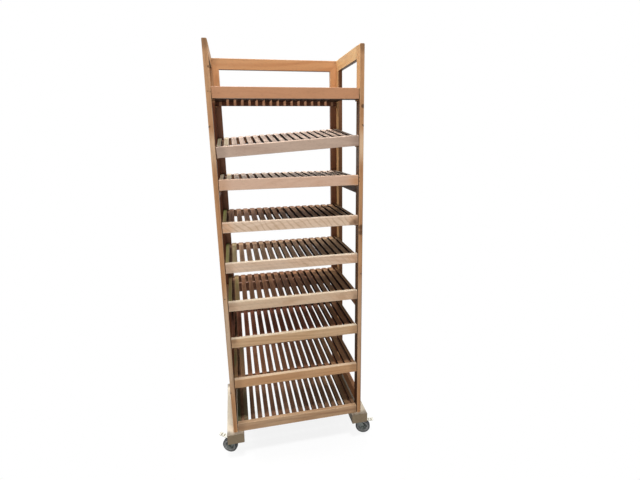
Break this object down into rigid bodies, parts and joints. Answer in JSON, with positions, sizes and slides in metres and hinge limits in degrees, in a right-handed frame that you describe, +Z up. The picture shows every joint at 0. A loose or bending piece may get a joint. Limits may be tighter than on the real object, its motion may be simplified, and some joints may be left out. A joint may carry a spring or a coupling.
{
  "type": "bakery bread rack",
  "caption": "Tall wooden bread rack on lockable swivel castors, open at the front, with loose slatted shelves on dowel pins, one of them set askew.",
  "frame": {"origin": "on the floor, under the middle of the rack", "axes": "+Z up, the open front faces -Y, +X to the right as seen from the front"},
  "size_m": [0.7991, 0.43, 1.895],
  "materials": {
    "frame_wood": "worn satin varnish",
    "back_wood": "worn satin varnish",
    "beam_wood": "worn satin varnish",
    "rail_wood": "worn satin varnish",
    "slat_wood": "worn satin varnish",
    "batten_wood": "worn satin varnish",
    "dowel_wood": "worn satin varnish",
    "zinc_steel": "dull zinc",
    "wheel_rubber": "matt, scuffed",
    "pedal_enamel": "worn pale enamel"
  },
  "bodies": {
    "frame": {"left_front_post": "frame_wood", "left_back_post": "frame_wood", "left_bottom_rung": "frame_wood", "left_middle_rung": "frame_wood", "left_upper_rung": "frame_wood", "left_top_rail": "frame_wood", "left_base_beam": "beam_wood", "back_left_stile": "back_wood", "right_front_post": "frame_wood", "right_back_post": "frame_wood", "right_bottom_rung": "frame_wood", "right_middle_rung": "frame_wood", "right_upper_rung": "frame_wood", "right_top_rail": "frame_wood", "right_base_beam": "beam_wood", "back_right_stile": "back_wood", "back_rails": "back_wood", "shelf_pins": "dowel_wood", "screws": "zinc_steel", "front_left_castor_plate": "zinc_steel", "front_right_castor_plate": "zinc_steel", "back_left_castor_plate": "zinc_steel", "back_right_castor_plate": "zinc_steel"},
    "shelf_1": {"shelf_1_front_rail": "rail_wood", "shelf_1_slats": "slat_wood", "shelf_1_battens": "batten_wood"},
    "shelf_2": {"shelf_2_front_rail": "rail_wood", "shelf_2_slats": "slat_wood", "shelf_2_battens": "batten_wood"},
    "shelf_3": {"shelf_3_front_rail": "rail_wood", "shelf_3_slats": "slat_wood", "shelf_3_battens": "batten_wood"},
    "shelf_4": {"shelf_4_front_rail": "rail_wood", "shelf_4_slats": "slat_wood", "shelf_4_battens": "batten_wood"},
    "shelf_5": {"shelf_5_front_rail": "rail_wood", "shelf_5_slats": "slat_wood", "shelf_5_battens": "batten_wood"},
    "shelf_6": {"shelf_6_front_rail": "rail_wood", "shelf_6_slats": "slat_wood", "shelf_6_battens": "batten_wood"},
    "shelf_7": {"shelf_7_front_rail": "rail_wood", "shelf_7_slats": "slat_wood", "shelf_7_battens": "batten_wood"},
    "shelf_8": {"shelf_8_front_rail": "rail_wood", "shelf_8_slats": "slat_wood", "shelf_8_battens": "batten_wood"},
    "shelf_9": {"shelf_9_front_rail": "rail_wood", "shelf_9_slats": "slat_wood", "shelf_9_battens": "batten_wood"},
    "front_left_fork": {"front_left_fork": "zinc_steel"},
    "front_left_wheel": {"front_left_wheel": "wheel_rubber"},
    "front_right_fork": {"front_right_fork": "zinc_steel"},
    "front_right_wheel": {"front_right_wheel": "wheel_rubber"},
    "back_left_fork": {"back_left_fork": "zinc_steel"},
    "back_left_wheel": {"back_left_wheel": "wheel_rubber"},
    "back_right_fork": {"back_right_fork": "zinc_steel"},
    "back_right_wheel": {"back_right_wheel": "wheel_rubber"},
    "front_left_brake_pedal": {"front_left_brake_pedal": "pedal_enamel"},
    "front_right_brake_pedal": {"front_right_brake_pedal": "pedal_enamel"}
  },
  "joints": [
    {"name": "shelf_1_slide", "type": "slide", "parent": "frame", "child": "shelf_1", "axis": [0, -1, 0], "range_m": [0, 0.35]},
    {"name": "shelf_2_slide", "type": "slide", "parent": "frame", "child": "shelf_2", "axis": [0, -0.9936, -0.1132], "range_m": [0, 0.35]},
    {"name": "shelf_3_slide", "type": "slide", "parent": "frame", "child": "shelf_3", "axis": [0, -1, 0], "range_m": [0, 0.35]},
    {"name": "shelf_4_slide", "type": "slide", "parent": "frame", "child": "shelf_4", "axis": [0, -1, 0], "range_m": [0, 0.35]},
    {"name": "shelf_5_slide", "type": "slide", "parent": "frame", "child": "shelf_5", "axis": [0, -1, 0], "range_m": [0, 0.35]},
    {"name": "shelf_6_slide", "type": "slide", "parent": "frame", "child": "shelf_6", "axis": [0, -1, 0], "range_m": [0, 0.35]},
    {"name": "shelf_7_slide", "type": "slide", "parent": "frame", "child": "shelf_7", "axis": [0, -1, 0], "range_m": [0, 0.35]},
    {"name": "shelf_8_slide", "type": "slide", "parent": "frame", "child": "shelf_8", "axis": [0, -1, 0], "range_m": [0, 0.35]},
    {"name": "shelf_9_slide", "type": "slide", "parent": "frame", "child": "shelf_9", "axis": [0, -1, 0], "range_m": [0, 0.35]},
    {"name": "front_left_swivel", "type": "hinge", "parent": "frame", "child": "front_left_fork", "pos_m": [-0.312, -0.1515, 0.1], "axis": [0, 0, 1], "continuous": true},
    {"name": "front_left_wheel_spin", "type": "hinge", "parent": "front_left_fork", "child": "front_left_wheel", "pos_m": [-0.34397, -0.13726, 0.0375], "axis": [-0.4067, -0.9135, 0], "continuous": true},
    {"name": "front_left_brake", "type": "hinge", "parent": "front_left_fork", "child": "front_left_brake_pedal", "pos_m": [-0.33027, -0.14337, 0.079], "axis": [-0.4067, -0.9135, 0], "range_deg": [0, 12]},
    {"name": "front_right_swivel", "type": "hinge", "parent": "frame", "child": "front_right_fork", "pos_m": [0.312, -0.1515, 0.1], "axis": [0, 0, 1], "continuous": true},
    {"name": "front_right_wheel_spin", "type": "hinge", "parent": "front_right_fork", "child": "front_right_wheel", "pos_m": [0.34529, -0.16232, 0.0375], "axis": [0.309, 0.9511, 0], "continuous": true},
    {"name": "front_right_brake", "type": "hinge", "parent": "front_right_fork", "child": "front_right_brake_pedal", "pos_m": [0.33102, -0.15768, 0.079], "axis": [0.309, 0.9511, 0], "range_deg": [-12, 0]},
    {"name": "back_left_swivel", "type": "hinge", "parent": "frame", "child": "back_left_fork", "pos_m": [-0.312, 0.1485, 0.1], "axis": [0, 0, 1], "continuous": true},
    {"name": "back_left_wheel_spin", "type": "hinge", "parent": "back_left_fork", "child": "back_left_wheel", "pos_m": [-0.29192, 0.17717, 0.0375], "axis": [-0.8192, 0.5736, 0], "continuous": true},
    {"name": "back_right_swivel", "type": "hinge", "parent": "frame", "child": "back_right_fork", "pos_m": [0.312, 0.1485, 0.1], "axis": [0, 0, 1], "continuous": true},
    {"name": "back_right_wheel_spin", "type": "hinge", "parent": "back_right_fork", "child": "back_right_wheel", "pos_m": [0.34529, 0.13768, 0.0375], "axis": [0.309, 0.9511, 0], "continuous": true}
  ]
}
